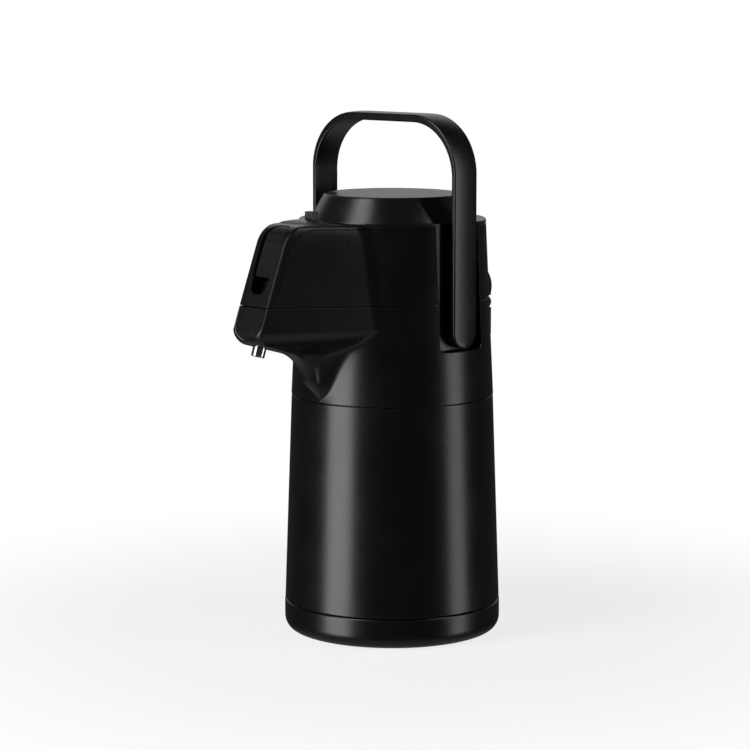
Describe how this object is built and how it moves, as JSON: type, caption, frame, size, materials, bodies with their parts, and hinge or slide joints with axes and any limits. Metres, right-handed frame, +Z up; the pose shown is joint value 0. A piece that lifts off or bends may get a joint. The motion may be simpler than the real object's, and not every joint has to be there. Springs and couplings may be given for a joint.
{
  "type": "thermal coffee airpot",
  "caption": "Pump airpot with a tapered black body, hinged pump head with a forward spout, push button and an arched carrying handle.",
  "frame": {"origin": "centre of the underside of the base, on the axis of the body", "axes": "+Z up along the body, -Y towards the spout, +X and -X towards the handle pivots"},
  "size_m": [0.168, 0.2428, 0.4014],
  "materials": {
    "black_plastic": "moulded polypropylene, semi gloss",
    "satin_plastic": "moulded polypropylene, satin",
    "white_plastic": "natural",
    "rubber": "matte silicone",
    "steel": "polished",
    "glass": "silvered borosilicate"
  },
  "bodies": {
    "pot": {"base_cover": "black_plastic", "liner_support_plug": "black_plastic", "liner_cushion": "rubber", "outer_body": "black_plastic", "vacuum_liner": "glass", "liner_gasket": "rubber", "shoulder": "black_plastic", "inner_stopper": "white_plastic", "stopper_gasket": "rubber", "siphon_tube": "white_plastic", "outlet_pipe": "white_plastic", "nozzle": "steel", "nozzle_seal": "rubber", "hinge_bracket": "black_plastic", "hinge_pin": "steel"},
    "carrying_handle": {"handle": "black_plastic", "handle_washer_right": "steel", "handle_washer_left": "steel"},
    "pump_head": {"head_shell": "black_plastic", "hinge_cover": "black_plastic", "head_plate": "white_plastic", "pressure_seal": "rubber", "air_valve": "rubber", "bellows": "white_plastic", "return_spring": "steel", "lever_pin": "steel", "lever_spring": "steel", "head_screw_1": "steel", "head_screw_2": "steel", "head_screw_3": "steel", "head_screw_4": "steel"},
    "button": {"push_button": "satin_plastic"},
    "slider": {"lock_slider": "black_plastic"},
    "lever": {"release_lever": "black_plastic"}
  },
  "joints": [
    {"name": "handle_swing", "type": "hinge", "parent": "pot", "child": "carrying_handle", "pos_m": [0, 0.0005, 0.238], "axis": [1, 0, 0], "range_deg": [-90, 90]},
    {"name": "lid_open", "type": "hinge", "parent": "pot", "child": "pump_head", "pos_m": [0, 0.085, 0.25], "axis": [-1, 0, 0], "range_deg": [0, 28]},
    {"name": "button_press", "type": "slide", "parent": "pump_head", "child": "button", "axis": [0, 0, -1], "range_m": [0, 0.018], "stiffness_N_per_m": 900, "springref_m": -0.004, "deforming": ["bellows", "return_spring"]},
    {"name": "lock_slide", "type": "slide", "parent": "pump_head", "child": "slider", "axis": [1, 0, 0], "range_m": [-0.003, 0.003]},
    {"name": "lever_pull", "type": "hinge", "parent": "pump_head", "child": "lever", "pos_m": [0, -0.11896, 0.30879], "axis": [-1, 0, 0], "range_deg": [0, 8], "stiffness_Nm_per_rad": 0.3, "springref_deg": -5.73}
  ]
}
